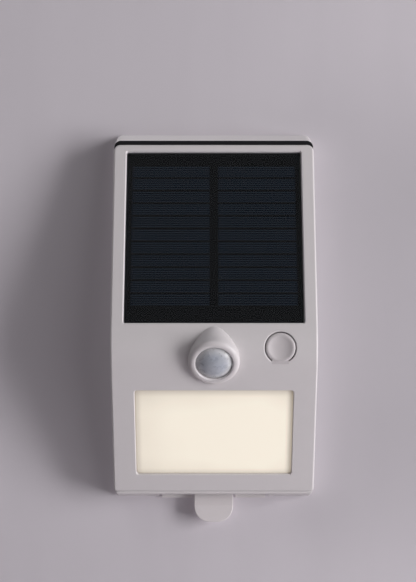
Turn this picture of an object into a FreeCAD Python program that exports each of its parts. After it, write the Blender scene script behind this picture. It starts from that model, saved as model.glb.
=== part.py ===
import FreeCAD, Part
import math
import os

# Solar wall light on a wall bracket, in millimetres.
# The pieces are drawn lying on their back: x to the right, y up the wall and z out from the wall,
# from the middle of the bracket's two screw holes on the wall plane. stand_up turns them upright.

# Case outline
case_width = 104.0
front_top = 89.3
front_bottom = -91.0
knee_place = -15.5
knee_rise = 31.0
seam_top_step = 2.3
seam_foot_step = 1.4
side_taper = 0.2
top_taper = 5.0
foot_taper = 4.0
case_corner = 3.4
foot_corner = 1.6
wall = 2.0
back_gap = 1.0
back_depth = 13.0
gasket_thickness = 2.0
front_edge_height = 1.3
knee_radius = 28.0
side_draft_angle = 0.6
front_fillet = 1.0
back_fillet = 0.8
overrun = 1.0
fit_gap = 0.3
glue_gap = 0.15

# Seam gasket and the drip lip below it
gasket_width = 2.4
gasket_side_inset = 0.15
lip_thickness = 1.25
lip_side_inset = 1.6

# Panel in the upper face
panel_side_frame = 6.75
panel_border = 3.6
panel_foot_border = 13.35
panel_opening_corner = 0.8
panel_opening_chamfer = 0.5
panel_recess = 1.8
panel_side_gap = 0.45
panel_end_gap = 0.35
panel_corner = 0.6
cover_thickness = 0.5
cell_thickness = 0.25
backing_thickness = 1.4
tape_thickness = 0.5
tape_width = 6.0
pocket_floor = 1.6
cell_rows = 11
cell_columns = 2
cell_gap = 0.9
column_gap = 4.07
cell_side_margin = 2.55
cell_top_margin = 7.2
cell_foot_margin = 8.25
lead_hole_radius = 2.2
lead_hole_inset = 4.25
lead_hole_foot = 12.4
lead_hole_patch = 1.0

# Lit window in the lower face
window_side_frame = 12.0
window_border = 9.9
window_top_border = 23.0
window_corner = 1.4
window_chamfer = 0.4
diffuser_recess = 1.2
diffuser_land_gap = 0.15
diffuser_flange = 2.2
diffuser_flange_thickness = 1.6
diffuser_seal_thickness = 0.5
diffuser_seal_width = 1.6
reflector_depth = 4.6
reflector_top_wall = 0.7
reflector_foot_wall = 2.8
reflector_floor = 0.8
reflector_corner = 2.0
led_hole = 4.4
led_rows = 4
led_columns = 6
led_end_margin = 7.6
led_side_margin = 9.0
led_width = 3.5
led_height = 2.8
led_thickness = 0.8
led_board_thickness = 1.6
led_board_side = 7.6
led_board_end = 2.4
led_post_inset = 6.8
led_post_end = 10.6
led_post_radius = 2.3
post_pilot_radius = 0.9

# Sensor hood, lens and sensor
hood_tilt = 30.0
hood_place = -22.95
hood_rise = 1.3
hood_radius = 12.75
hood_tail_radius = 6.4
hood_tail_up = 15.5
hood_tail_drop = 10.7
hood_rim_fillet = 2.2
hood_skirt = 6.0
lens_bore_radius = 9.25
lens_bore_chamfer = 0.6
lens_seat_depth = 4.0
lens_counterbore_radius = 10.35
collar_radius = 12.2
collar_depth = 7.1
lens_radius = 9.1
lens_sphere_radius = 13.6
lens_dome_base = 1.3
lens_wall = 0.9
lens_flange_radius = 10.2
lens_flange_thickness = 1.0
lens_seal_thickness = 0.5
lens_seal_radius = 9.4
retainer_thickness = 1.4
retainer_inner_radius = 8.5
pyro_depth = 7.7
pyro_radius = 4.15
pyro_rim_radius = 4.6
pyro_rim_thickness = 0.5
pyro_height = 4.2
pyro_window_width = 3.8
pyro_window_height = 3.0
pyro_window_depth = 0.3
pyro_lead_radius = 0.23
pyro_lead_circle = 2.54
pyro_lead_turns = (45.0, 135.0, 225.0)

# Push button with its living hinge, the boot behind it and the switch
button_share = 0.6346
button_place = -15.0
button_slot_radius = 7.9
button_lip = 0.5
button_radius = 7.5
button_rim_width = 1.3
button_dish_radius = 26.0
button_dish_depth = 0.9
neck_width = 8.4
neck_length = 0.3
neck_thickness = 1.2
button_collar_inner = 9.9
button_collar_wall = 1.6
button_collar_height = 3.4
button_collar_top = 9.1
boot_thickness = 0.7
boot_press_gap = 0.1
button_stem_radius = 2.0
plunger_radius = 1.7
plunger_gap = 0.08
plunger_sink = 1.2
switch_side = 6.0
switch_height = 3.6
switch_bore_depth = 2.2
switch_corner = 0.5

# Main board
board_rise = 18.0
board_thickness = 1.6
board_side_gap = 6.0
board_top = -3.0
board_bottom = -30.0
board_corner = 1.0
board_post_inset = 6.0
board_post_gap = 3.0
board_post_end = 4.6
board_post_radius = 2.4
chip_length = 5.0
chip_width = 4.0
chip_height = 1.5
chip_inset = 20.0
chip_y = -12.0
capacitor_radius = 2.5
capacitor_height = 5.4
capacitor_gap = 2.3
capacitor_y = -24.0
coil_side = 5.0
coil_height = 3.0
coil_corner = 0.8
coil_gap = 0.8
coil_y = -23.5
resistor_length = 2.0
resistor_width = 1.25
resistor_height = 0.55
resistor_inset = 11.5
resistor_y = -6.0
resistor_pitch = 3.0
resistor_count = 5
plug_length = 7.4
plug_width = 5.8
plug_height = 6.4
plug_y = -22.0
plug_inset = 13.5
plug_post_gap = 15.3
plug_wire_pitch = 2.5

# Battery on the bay floor
battery_radius = 9.25
battery_length = 65.0
battery_y = 13.0
battery_button_radius = 2.8
battery_button_length = 0.8
battery_edge = 0.9
pad_thickness = 1.0
pad_width = 8.0
pad_end_gap = 3.0
saddle_inset = 5.5
saddle_thickness = 2.0
saddle_half_height = 10.6
saddle_sink = 2.5
strap_thickness = 1.0
strap_width = 10.0
strap_foot = 7.0
strap_post_radius = 2.4
tab_width = 6.0
tab_thickness = 0.3
tab_height = 8.0
tab_drop = 3.1

# Leads between the boards, the panel and the battery
lead_radius = 0.65
panel_lead_spread = 1.0
panel_lead_drop = 12.5
panel_lead_side = 3.6
battery_lead_reach = 4.6
battery_lead_drop = 24.0
led_lead_drop = 7.0
bend_share = 0.45

# Bay in the back for the bracket, with its catches and latch ledge
bay_side_gap = 1.5
bay_top_gap = 4.0
bay_depth = 6.8
catch_inset = 9.5
catch_top_gap = 10.0
catch_spacing = 78.0
catch_height = 7.0
catch_half_width = 8.0
catch_cheek = 1.5
catch_gap = 0.5
catch_thickness = 1.6
ledge_width = 18.0
ledge_thickness = 1.6
ledge_reach = 1.6

# Wall bracket
bracket_width = 55.0
bracket_top = 48.0
bracket_foot_reach = 0.7
bracket_thickness = 2.0
bracket_corner = 2.0
screw_spacing = 60.0
screw_hole_radius = 2.25
screw_hole_chamfer = 0.5
hook_half_width = 6.0
hook_stem = 3.0
hook_finger_height = 7.5
hook_finger_thickness = 1.3
hook_finger_gap = 0.4
hook_lead_in = 0.6

# Release tongue
tongue_width = 20.4
tongue_gap = 1.4
tongue_root = -62.0
tongue_root_lift = 0.5
tongue_thickness = 1.8
tongue_tip_length = 12.2
tongue_tip_rise = 7.6
tongue_step_gap = 0.4
tongue_bend_rise = 4.3
tongue_step_length = 3.4
tongue_corner = 8.2
barb_length = 6.8
barb_flat = 1.1
barb_half_width = 7.0
barb_clearance = 0.35
barb_reach_gap = 0.5

# Case screws
case_post_inset = 6.2
case_post_top = 22.8
case_post_foot = 7.0
case_post_radius = 3.0
case_post_rise = 8.0
case_pilot_radius = 1.2
screw_sink = 4.0
screw_sink_radius = 3.1
screw_sink_wall = 1.5
screw_clear_radius = 1.7
screw_head_radius = 2.7
screw_head_height = 2.0
screw_radius = 1.15
case_screw_reach = 7.0
slot_width = 0.8
slot_depth = 0.9
head_round_share = 1 / 3
tip_share = 1 / 2
small_head_radius = 2.1
small_head_height = 1.4
small_screw_radius = 0.85
small_screw_reach = 4.5

# Directions and turns, and the levels above the wall plane
seam_rise = back_gap + back_depth
rim_rise = seam_rise + gasket_thickness
edge_rise = rim_rise + front_edge_height
knee_level = rim_rise + knee_rise
bay_floor = back_gap + bay_depth
inner_floor = bay_floor + wall
upper_tilt = math.atan((knee_level - edge_rise) / (front_top - knee_place))
lower_tilt = math.atan((knee_level - edge_rise) / (knee_place - front_bottom))

# Sizes that follow from the case
half_case = case_width / 2
seam_top = front_top + seam_top_step
seam_bottom = front_bottom - seam_foot_step
wall_level_width = case_width - 2 * side_taper
wall_level_top = seam_top + top_taper
wall_level_bottom = seam_bottom - foot_taper
upper_length = (front_top - knee_place) / math.cos(upper_tilt)
lower_length = (knee_place - front_bottom) / math.cos(lower_tilt)
panel_opening_width = case_width - 2 * panel_side_frame
panel_opening_height = upper_length - panel_border - panel_foot_border
lead_hole_x = lead_hole_inset - panel_opening_width / 2
lead_hole_up = lead_hole_foot - panel_opening_height / 2
window_width = case_width - 2 * window_side_frame
window_height = lower_length - window_border - window_top_border
led_column_pitch = (window_width - 2 * led_side_margin) / (led_columns - 1)
led_row_pitch = (window_height - 2 * led_end_margin) / (led_rows - 1)
led_post_x = half_case - led_post_inset
led_post_up = window_height / 2 - led_post_end
button_x = half_case * button_share
board_half_width = half_case - wall - board_side_gap
board_post_x = (board_post_inset - board_half_width, collar_radius + board_post_gap)
board_post_y = (board_top - board_post_end, board_bottom + board_post_end)
plug_x = (plug_inset - board_half_width, 0.0, board_post_x[1] + plug_post_gap)
capacitor_x = -collar_radius - capacitor_gap - capacitor_radius
coil_x = capacitor_x - capacitor_radius - coil_gap - coil_side / 2
case_post_x = half_case - case_post_inset
case_post_y = (front_top - case_post_top, front_bottom + case_post_foot)

# Sizes that follow from the bracket and the battery
bay_width = bracket_width + 2 * bay_side_gap
bay_top = bracket_top + bay_top_gap
bracket_bottom = wall_level_bottom - bracket_foot_reach
catch_x = bracket_width / 2 - catch_inset
catch_levels = (bracket_top - catch_top_gap, bracket_top - catch_top_gap - catch_spacing)
tongue_step_y = wall_level_bottom - tongue_step_gap
tongue_tip = tongue_step_y - tongue_tip_length
saddle_x = battery_length / 2 - saddle_inset
pad_length = 2 * saddle_x - saddle_thickness - 2 * pad_end_gap
x_axis = FreeCAD.Vector(1, 0, 0)
z_axis = FreeCAD.Vector(0, 0, 1)
quarter_turn = 90.0
third_turn = 120.0
half_turn = 180.0


def point(x, y, z=0.0):
    return FreeCAD.Vector(x, y, z)


def face_frame(x, y, z, tilt):
    # A frame on a face of the case: its x is across, its y up the slope, its z out of the face.
    return FreeCAD.Placement(point(x, y, z), FreeCAD.Rotation(x_axis, math.degrees(tilt)))


def seat(shape, frame):
    placed = shape.copy()
    placed.Placement = frame.multiply(placed.Placement)
    return placed


def moved(shape, x, y, z=0.0):
    return seat(shape, FreeCAD.Placement(point(x, y, z), FreeCAD.Rotation()))


def fuse_all(shapes):
    whole = shapes[0]
    if len(shapes) > 1:
        whole = whole.multiFuse(shapes[1:])
    return whole.removeSplitter()


def group(shapes):
    return Part.makeCompound(shapes)


def rounded_edges(corners):
    # Corners are (x, y, radius). Each one turns into an arc that touches both of its sides.
    stretches = []
    for index, (x, y, radius) in enumerate(corners):
        corner = point(x, y)
        before = point(*corners[index - 1][:2]) - corner
        after = point(*corners[(index + 1) % len(corners)][:2]) - corner
        before.normalize()
        after.normalize()
        if radius == 0:
            stretches.append((corner, corner, corner))
            continue
        half_angle = before.getAngle(after) / 2
        bisector = before + after
        bisector.normalize()
        reach = radius / math.tan(half_angle)
        middle = corner + bisector * (radius / math.sin(half_angle) - radius)
        stretches.append((corner + before * reach, middle, corner + after * reach))
    edges = []
    for index, (start, middle, end) in enumerate(stretches):
        if start != end:
            edges.append(Part.Arc(start, middle, end).toShape())
        following = stretches[(index + 1) % len(stretches)][0]
        if (following - end).Length > Part.Precision.confusion():
            edges.append(Part.LineSegment(end, following).toShape())
    return edges


def rounded_wire(corners):
    return Part.Wire(rounded_edges(corners))


def prism(corners, low, high):
    face = Part.Face(rounded_wire(corners))
    return moved(face.extrude(z_axis * (high - low)), 0, 0, low)


def rectangle(left, right, bottom, top, radius=0.0):
    return [(left, bottom, radius), (right, bottom, radius), (right, top, radius), (left, top, radius)]


def centred(width, height, radius=0.0):
    return rectangle(-width / 2, width / 2, -height / 2, height / 2, radius)


def block(left, right, bottom, top, low, high):
    return prism(rectangle(left, right, bottom, top), low, high)


def drum(radius, low, high):
    return Part.makeCylinder(radius, high - low, point(0, 0, low))


def drum_ring(outer, inner, low, high):
    return drum(outer, low, high).cut(drum(inner, low - overrun, high + overrun))


def frustum(low_corners, low, high_corners, high):
    low_wire = moved(rounded_wire(low_corners), 0, 0, low)
    high_wire = moved(rounded_wire(high_corners), 0, 0, high)
    return Part.makeLoft([low_wire, high_wire], True, True)


def side_prism(corners, half_width):
    # Corners are (y, z, radius): an outline seen from the side, drawn out across the case.
    turned = FreeCAD.Rotation(point(1, 1, 1), third_turn)
    solid = prism(corners, -half_width, half_width)
    return seat(solid, FreeCAD.Placement(point(0, 0), turned))


def stand_up(shape):
    return seat(shape, FreeCAD.Placement(point(0, 0), FreeCAD.Rotation(x_axis, quarter_turn)))


def pick_edges(shape, wanted):
    return [edge for edge in shape.Edges if wanted(edge.CenterOfMass, edge)]


# Frames on the faces
upper_axis = point(0, math.cos(upper_tilt), -math.sin(upper_tilt))
lower_axis = point(0, math.cos(lower_tilt), math.sin(lower_tilt))
panel_centre = point(0, front_top, edge_rise) - upper_axis * (panel_border + panel_opening_height / 2)
window_centre = point(0, front_bottom, edge_rise) + lower_axis * (window_border + window_height / 2)
panel_frame = face_frame(0, panel_centre.y, panel_centre.z, -upper_tilt)
window_frame = face_frame(0, window_centre.y, window_centre.z, lower_tilt)
hood_level = knee_level + hood_rise
hood_frame = face_frame(0, hood_place, hood_level, math.radians(hood_tilt))
knee_drop = knee_radius * (1 / math.cos((upper_tilt + lower_tilt) / 2) - 1)
button_rise = knee_level - knee_drop
button_frame = face_frame(button_x, button_place, 0, 0)
board_level = rim_rise + board_rise
window_depths = wall + diffuser_seal_thickness + diffuser_flange_thickness
board_depth = window_depths + reflector_depth
pocket_depth = panel_recess + cover_thickness + cell_thickness + backing_thickness + tape_thickness


def case_level(level, inset):
    # The back shell's outline at a level, between its wall side and its seam.
    share = (level - back_gap) / back_depth
    half = (wall_level_width + (case_width - wall_level_width) * share) / 2 - inset
    top = wall_level_top + (seam_top - wall_level_top) * share - inset
    bottom = wall_level_bottom + (seam_bottom - wall_level_bottom) * share + inset
    top_radius = max(case_corner - inset, fit_gap)
    foot_radius = max(foot_corner - inset, fit_gap)
    return [
        (-half, bottom, foot_radius),
        (half, bottom, foot_radius),
        (half, top, top_radius),
        (-half, top, top_radius),
    ]


def case_posts():
    return [(side * case_post_x, y) for side in (-1, 1) for y in case_post_y]


def back_shell():
    outer = frustum(case_level(back_gap, 0), back_gap, case_level(seam_rise, 0), seam_rise)
    rim_edges = pick_edges(outer, lambda middle, edge: middle.z < back_gap + glue_gap)
    outer = outer.makeFillet(back_fillet, rim_edges)
    hollow = frustum(
        case_level(back_gap + wall, wall), back_gap + wall,
        case_level(seam_rise + overrun, wall), seam_rise + overrun,
    )
    half_bay = bay_width / 2
    far_bottom = wall_level_bottom - overrun
    bay_walls = block(
        -half_bay - wall, half_bay + wall, far_bottom, bay_top + wall, back_gap, inner_floor,
    ).common(outer)
    bay = block(-half_bay, half_bay, far_bottom, bay_top, back_gap - overrun, bay_floor)
    lip = block(
        -case_width / 2 + lip_side_inset, case_width / 2 - lip_side_inset,
        seam_bottom, seam_bottom + lip_thickness, seam_rise - wall, rim_rise,
    )
    post = drum(screw_sink_radius + screw_sink_wall, back_gap, case_post_rise)
    posts = [moved(post, x, y).common(case_space()) for x, y in case_posts()]
    shell = fuse_all([outer.cut(hollow), bay_walls, lip] + posts + battery_rests()).cut(bay)
    shell = fuse_all([shell] + bay_catches())
    for x, y in case_posts():
        sink = drum(screw_sink_radius, back_gap - overrun, back_gap + screw_sink)
        shaft = drum(screw_clear_radius, back_gap, case_post_rise + overrun)
        shell = shell.cut(moved(sink.fuse(shaft), x, y))
    for y in strap_posts():
        shell = shell.cut(moved(drum(post_pilot_radius, inner_floor, battery_rise + overrun), 0, y))
    return shell


def case_space():
    # The back shell's outer form, carried on past its seam.
    far = seam_rise + overrun
    return frustum(case_level(back_gap, 0), back_gap, case_level(far, 0), far)


def catch_span():
    # How far the catch bars stand from the wall: behind the hook's finger, clear of the plate.
    low = bracket_thickness + catch_gap
    return low, low + catch_thickness


def bay_catches():
    low, high = catch_span()
    pieces = []
    for x in (-catch_x, catch_x):
        for y in catch_levels:
            bar = block(
                x - catch_half_width, x + catch_half_width, y, y + catch_height, low, high,
            )
            pieces.append(bar)
            for side in (-1, 1):
                edge = x + side * catch_half_width
                inner = edge - side * catch_cheek
                pieces.append(block(
                    min(edge, inner), max(edge, inner), y, y + catch_height, low, bay_floor + overrun,
                ))
    pieces.append(block(
        -ledge_width / 2, ledge_width / 2, ledge_level(), ledge_level() + ledge_thickness,
        bay_floor - ledge_reach, bay_floor + overrun,
    ))
    return pieces


def ledge_level():
    # The ledge lies just inside the foot of the shell, where the bay opens downwards.
    share = bay_depth / back_depth
    return wall_level_bottom + (seam_bottom - wall_level_bottom) * share + case_corner - wall


battery_rise = inner_floor + pad_thickness + battery_radius


def strap_posts():
    reach = battery_radius + fit_gap + strap_thickness + strap_foot / 2
    return (battery_y - reach, battery_y + reach)


def battery_rests():
    rests = []
    saddle_cut = Part.makeCylinder(
        battery_radius + fit_gap, bay_width * 2, point(-bay_width, battery_y, battery_rise), x_axis,
    )
    for x in (-saddle_x, saddle_x):
        rib = block(
            x - saddle_thickness / 2, x + saddle_thickness / 2,
            battery_y - saddle_half_height, battery_y + saddle_half_height,
            back_gap, battery_rise - saddle_sink,
        )
        rests.append(rib.cut(saddle_cut))
    for y in strap_posts():
        rests.append(moved(drum(strap_post_radius, back_gap, battery_rise), 0, y))
    return rests


def shell_gasket():
    half = case_width / 2 - gasket_side_inset
    inner = half - gasket_width
    outer_corners = [
        (-half, front_bottom, foot_corner),
        (half, front_bottom, foot_corner),
        (half, seam_top, case_corner),
        (-half, seam_top, case_corner),
    ]
    inner_radius = case_corner - gasket_width
    opening = rectangle(
        -inner, inner, front_bottom + gasket_width, seam_top - gasket_width, inner_radius,
    )
    ring = prism(outer_corners, seam_rise, rim_rise)
    return ring.cut(prism(opening, seam_rise - overrun, rim_rise + overrun))


def front_body(inset, low):
    # The wedge of the front shell, drawn in by inset on every face but its open rim.
    draft = math.tan(math.radians(side_draft_angle))
    high = knee_level + overrun
    corners = []
    for level in (low, high):
        half = case_width / 2 - inset - (level - rim_rise) * draft
        corners.append([
            (-half, front_bottom + inset, max(foot_corner - inset, fit_gap)),
            (half, front_bottom + inset, max(foot_corner - inset, fit_gap)),
            (half, front_top - inset, max(case_corner - inset, fit_gap)),
            (-half, front_top - inset, max(case_corner - inset, fit_gap)),
        ])
    tower = frustum(corners[0], low, corners[1], high)
    rise_upper = inset / math.cos(upper_tilt)
    rise_lower = inset / math.cos(lower_tilt)
    slope_upper = math.tan(upper_tilt)
    slope_lower = math.tan(lower_tilt)
    far_top = front_top + knee_rise
    far_bottom = front_bottom - knee_rise
    knee_y = knee_place + (rise_upper - rise_lower) / (slope_upper + slope_lower)
    knee_z = knee_level - rise_upper - (knee_y - knee_place) * slope_upper
    outline = [
        (far_bottom, low - knee_rise, 0),
        (far_top, low - knee_rise, 0),
        (far_top, knee_z - (far_top - knee_y) * slope_upper, 0),
        (knee_y, knee_z, knee_radius - inset),
        (far_bottom, knee_z - (knee_y - far_bottom) * slope_lower, 0),
    ]
    return tower.common(side_prism(outline, case_width))


def hood_solid():
    # A round rim with a rounded edge, and a cone that leans back from it up the case to a small tail
    # inside the upper face.
    rim = drum(hood_radius, -hood_skirt, 0)
    rim = rim.makeFillet(hood_rim_fillet, pick_edges(rim, lambda middle, edge: is_hood_rim(edge)))
    ring = Part.Wire(Part.makeCircle(hood_radius, point(0, 0, -hood_skirt)))
    tail = Part.Wire(Part.makeCircle(hood_tail_radius, point(0, 0)))
    up = point(0, math.cos(math.radians(hood_tilt)), math.sin(math.radians(hood_tilt)))
    out = point(0, -math.sin(math.radians(hood_tilt)), math.cos(math.radians(hood_tilt)))
    offset = point(0, hood_tail_up, -hood_tail_drop)
    tail = moved(tail, 0, offset.dot(up), offset.dot(out))
    cone = Part.makeLoft([tail, ring], True, True)
    return seat(rim.fuse(cone), hood_frame)


def front_shell():
    outer = front_body(0, rim_rise)
    sharp = pick_edges(
        outer,
        lambda middle, edge: middle.z > rim_rise + glue_gap
        and edge.BoundBox.ZLength < knee_rise
        and not is_upright(edge)
        and not crosses_case(edge, middle),
    )
    outer = outer.makeFillet(front_fillet, sharp)
    whole = outer.fuse(hood_solid()).removeSplitter()
    shell = whole.cut(front_body(wall, rim_rise - overrun))
    half_width = panel_opening_width / 2 + wall
    half_height = panel_opening_height / 2 + wall
    pocket = block(
        -half_width, half_width, -half_height, half_height, -pocket_depth - pocket_floor, -wall / 2,
    )
    collar = drum(collar_radius, -collar_depth, 0)
    additions = [
        seat(pocket, panel_frame).common(front_reach()),
        seat(collar, hood_frame).common(whole),
        seat(button_collar(), button_frame).common(whole),
    ]
    additions += [seat(post, window_frame).common(whole) for post in led_posts()]
    additions += [post.common(whole) for post in board_posts()]
    additions += [case_post(x, y).common(front_reach()) for x, y in case_posts()]
    shell = fuse_all([shell] + additions)
    for cutter in front_cutters():
        shell = shell.cut(cutter)
    return shell.makeFillet(button_lip, pick_edges(shell, lambda middle, edge: is_button_lip(edge)))


def is_button_lip(edge):
    # The two arcs where the button's round hole meets the rounded face of the case.
    if edge.Degenerated or edge.Length < button_slot_radius:
        return False
    first, last = edge.ParameterRange
    for value in (first, (first + last) / 2, last):
        spot = edge.valueAt(value) - button_frame.Base
        if abs(math.hypot(spot.x, spot.y) - button_slot_radius) > glue_gap:
            return False
        if spot.z < button_rise - wall + glue_gap:
            return False
    return True


def is_upright(edge):
    return edge.BoundBox.ZLength > edge.BoundBox.XLength + edge.BoundBox.YLength


def crosses_case(edge, middle):
    # The two lines where the rounded knee meets the faces run straight across the case.
    return edge.BoundBox.XLength > case_width / 2 and middle.z > knee_level - knee_rise / 2


def is_hood_rim(edge):
    return max(abs(edge.BoundBox.ZMin), abs(edge.BoundBox.ZMax)) < glue_gap


def front_reach():
    # The space that pieces on the inside of the front shell may fill, down into the back shell.
    return front_body(fit_gap, case_post_rise)


def case_post(x, y):
    return moved(drum(case_post_radius, case_post_rise, knee_level), x, y)


def button_collar():
    low = button_rise - wall - button_collar_height
    outer = button_collar_inner + button_collar_wall
    return drum_ring(outer, button_collar_inner, low, button_rise)


def led_posts():
    posts = []
    for x in (-led_post_x, led_post_x):
        for y in (-led_post_up, led_post_up):
            posts.append(moved(drum(led_post_radius, -board_depth, 0), x, y))
    return posts


def board_posts():
    posts = []
    for x in board_post_x:
        for y in board_post_y:
            posts.append(moved(drum(board_post_radius, board_level, knee_level), x, y))
    return posts


def front_cutters():
    opening = prism(
        centred(panel_opening_width, panel_opening_height, panel_opening_corner), -pocket_depth, overrun,
    )
    spread = panel_opening_chamfer + overrun
    bevel = frustum(
        centred(panel_opening_width, panel_opening_height, panel_opening_corner), -panel_opening_chamfer,
        centred(
            panel_opening_width + 2 * spread, panel_opening_height + 2 * spread,
            panel_opening_corner + spread,
        ), overrun,
    )
    window = prism(centred(window_width, window_height, window_corner), -wall - overrun, overrun)
    spread = window_chamfer + overrun
    window_bevel = frustum(
        centred(window_width, window_height, window_corner), -window_chamfer,
        centred(window_width + 2 * spread, window_height + 2 * spread, window_corner + spread), overrun,
    )
    bore = drum(lens_bore_radius, -lens_seat_depth - overrun, overrun)
    mouth = Part.makeCone(
        lens_bore_radius, lens_bore_radius + lens_bore_chamfer + overrun,
        lens_bore_chamfer + overrun, point(0, 0, -lens_bore_chamfer),
    )
    counterbore = drum(lens_counterbore_radius, -collar_depth - overrun, -lens_seat_depth)
    lead_hole = moved(
        drum(lead_hole_radius, -pocket_depth - pocket_floor - overrun, -pocket_depth + overrun),
        lead_hole_x, lead_hole_up,
    )
    cutters = [seat(shape, panel_frame) for shape in (opening, bevel, lead_hole)]
    cutters += [seat(shape, window_frame) for shape in (window, window_bevel)]
    cutters += [seat(shape, hood_frame) for shape in (bore, mouth, counterbore)]
    cutters.append(seat(button_hole(), button_frame))
    for x in (-led_post_x, led_post_x):
        for y in (-led_post_up, led_post_up):
            pilot = drum(post_pilot_radius, -board_depth - overrun, -wall)
            cutters.append(seat(moved(pilot, x, y), window_frame))
    for x in board_post_x:
        for y in board_post_y:
            pilot = drum(post_pilot_radius, board_level - overrun, board_level + small_screw_reach)
            cutters.append(moved(pilot, x, y))
    for x, y in case_posts():
        reach = case_post_rise + case_screw_reach + fit_gap
        cutters.append(moved(drum(case_pilot_radius, case_post_rise - overrun, reach), x, y))
    return cutters


def neck_foot():
    # The flat end of the living hinge lies this far below the button's centre.
    return -button_slot_radius - neck_length


def button_hole():
    low = button_rise - wall - overrun * 2
    high = button_rise + overrun
    notch = block(-neck_width / 2, neck_width / 2, neck_foot(), 0, low, high)
    return drum(button_slot_radius, low, high).fuse(notch)


def shell_skin(depth):
    # The space within the outer face of the front shell, drawn in by depth.
    return front_body(depth, rim_rise)


def button_blank():
    # The pad and its neck, cut from the rounded face of the case.
    inner = button_rise - wall
    pad = seat(drum(button_radius, inner - overrun, knee_level), button_frame)
    half = neck_width / 2
    neck = seat(block(-half, half, neck_foot(), 0, inner - overrun, knee_level), button_frame)
    pad = pad.common(shell_skin(0))
    neck = neck.common(shell_skin(0))
    below = seat(block(-case_width, case_width, -case_width, case_width, 0, inner), button_frame)
    thin_neck = neck.cut(shell_skin(neck_thickness))
    return fuse_all([pad.cut(below), thin_neck])


def mode_button():
    dish_edge = button_radius - button_rim_width
    sphere_z = button_rise + math.sqrt(button_dish_radius ** 2 - dish_edge ** 2)
    dish = Part.makeSphere(button_dish_radius, point(0, 0, sphere_z - button_dish_depth / 2))
    dish = dish.common(drum(dish_edge, 0, knee_level + button_dish_radius * 2))
    blank = button_blank().cut(seat(dish, button_frame))
    stem_low = button_rise - wall - button_collar_height + boot_press_gap
    stem = seat(drum(button_stem_radius, stem_low, button_rise - wall + glue_gap), button_frame)
    return fuse_all([blank, stem])


def button_membrane():
    high = button_rise - wall - button_collar_height
    outer = button_collar_inner + button_collar_wall
    boot = drum(outer, high - boot_thickness, high)
    room = block(-outer, outer, -outer, button_collar_top, 0, high)
    return seat(boot.common(room), button_frame)


def plunger_top():
    return button_rise - wall - button_collar_height - boot_thickness - plunger_gap


def switch_plunger():
    top = plunger_top()
    low = board_level + switch_height - plunger_sink
    return seat(drum(plunger_radius, low, top), button_frame)


def tact_switch():
    top = board_level + switch_height
    body = prism(centred(switch_side, switch_side, switch_corner), board_level, top)
    bore = drum(plunger_radius + plunger_gap, top - switch_bore_depth, top + overrun)
    return seat(body.cut(bore), button_frame)


def panel_size():
    width = panel_opening_width - 2 * panel_side_gap
    height = panel_opening_height - 2 * panel_end_gap
    return width, height


def cell_sizes():
    # The width of a cell and the step from one row to the next.
    width, height = panel_size()
    cell_width = (width - 2 * cell_side_margin - column_gap * (cell_columns - 1)) / cell_columns
    return cell_width, (height - cell_top_margin - cell_foot_margin) / cell_rows


def panel_levels():
    cover_top = -panel_recess
    cell_top = cover_top - cover_thickness
    backing_top = cell_top - cell_thickness
    tape_top = backing_top - backing_thickness
    return cover_top, cell_top, backing_top, tape_top


def panel_cover():
    width, height = panel_size()
    cover_top, cell_top = panel_levels()[:2]
    return seat(prism(centred(width, height, panel_corner), cell_top, cover_top), panel_frame)


def solar_cells():
    cell_top, backing_top = panel_levels()[1:3]
    height = panel_size()[1]
    cell_width, cell_pitch = cell_sizes()
    cells = []
    for column in range(cell_columns):
        x = (column - (cell_columns - 1) / 2) * (cell_width + column_gap)
        for row in range(cell_rows):
            top = height / 2 - cell_top_margin - row * cell_pitch
            cells.append(block(
                x - cell_width / 2, x + cell_width / 2, top - cell_pitch + cell_gap, top,
                backing_top, cell_top,
            ))
    return seat(group(cells), panel_frame)


def panel_backing():
    width, height = panel_size()
    backing_top, tape_top = panel_levels()[2:]
    return seat(prism(centred(width, height, panel_corner), tape_top, backing_top), panel_frame)


def panel_seal_tape():
    width, height = panel_size()
    tape_top = panel_levels()[3]
    band = prism(centred(width, height, panel_corner), -pocket_depth, tape_top)
    inside = prism(
        centred(width - 2 * tape_width, height - 2 * tape_width), -pocket_depth - overrun, overrun,
    )
    patch = drum_ring(lead_hole_radius + lead_hole_patch, lead_hole_radius, -pocket_depth, tape_top)
    clear = moved(drum(lead_hole_radius, -pocket_depth - overrun, overrun), lead_hole_x, lead_hole_up)
    return seat(band.cut(inside).fuse(moved(patch, lead_hole_x, lead_hole_up)).cut(clear), panel_frame)


def led_diffuser():
    flange_top = -wall - diffuser_seal_thickness
    flange = prism(
        centred(
            window_width + 2 * diffuser_flange, window_height + 2 * diffuser_flange,
            window_corner + diffuser_flange,
        ), flange_top - diffuser_flange_thickness, flange_top,
    )
    land = prism(
        centred(
            window_width - 2 * diffuser_land_gap, window_height - 2 * diffuser_land_gap,
            window_corner - diffuser_land_gap,
        ), flange_top - diffuser_flange_thickness, -diffuser_recess,
    )
    return seat(fuse_all([flange, land]), window_frame)


def diffuser_seal():
    outer = prism(
        centred(
            window_width + 2 * diffuser_flange, window_height + 2 * diffuser_flange,
            window_corner + diffuser_flange,
        ), -wall - diffuser_seal_thickness, -wall,
    )
    inner_spread = diffuser_flange - diffuser_seal_width
    inner = prism(
        centred(
            window_width + 2 * inner_spread, window_height + 2 * inner_spread,
            window_corner + inner_spread,
        ), -wall - diffuser_seal_thickness - overrun, 0,
    )
    return seat(outer.cut(inner), window_frame)


def led_places():
    places = []
    for row in range(led_rows):
        for column in range(led_columns):
            x = (column - (led_columns - 1) / 2) * led_column_pitch
            y = (row - (led_rows - 1) / 2) * led_row_pitch
            places.append((x, y))
    return places


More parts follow.
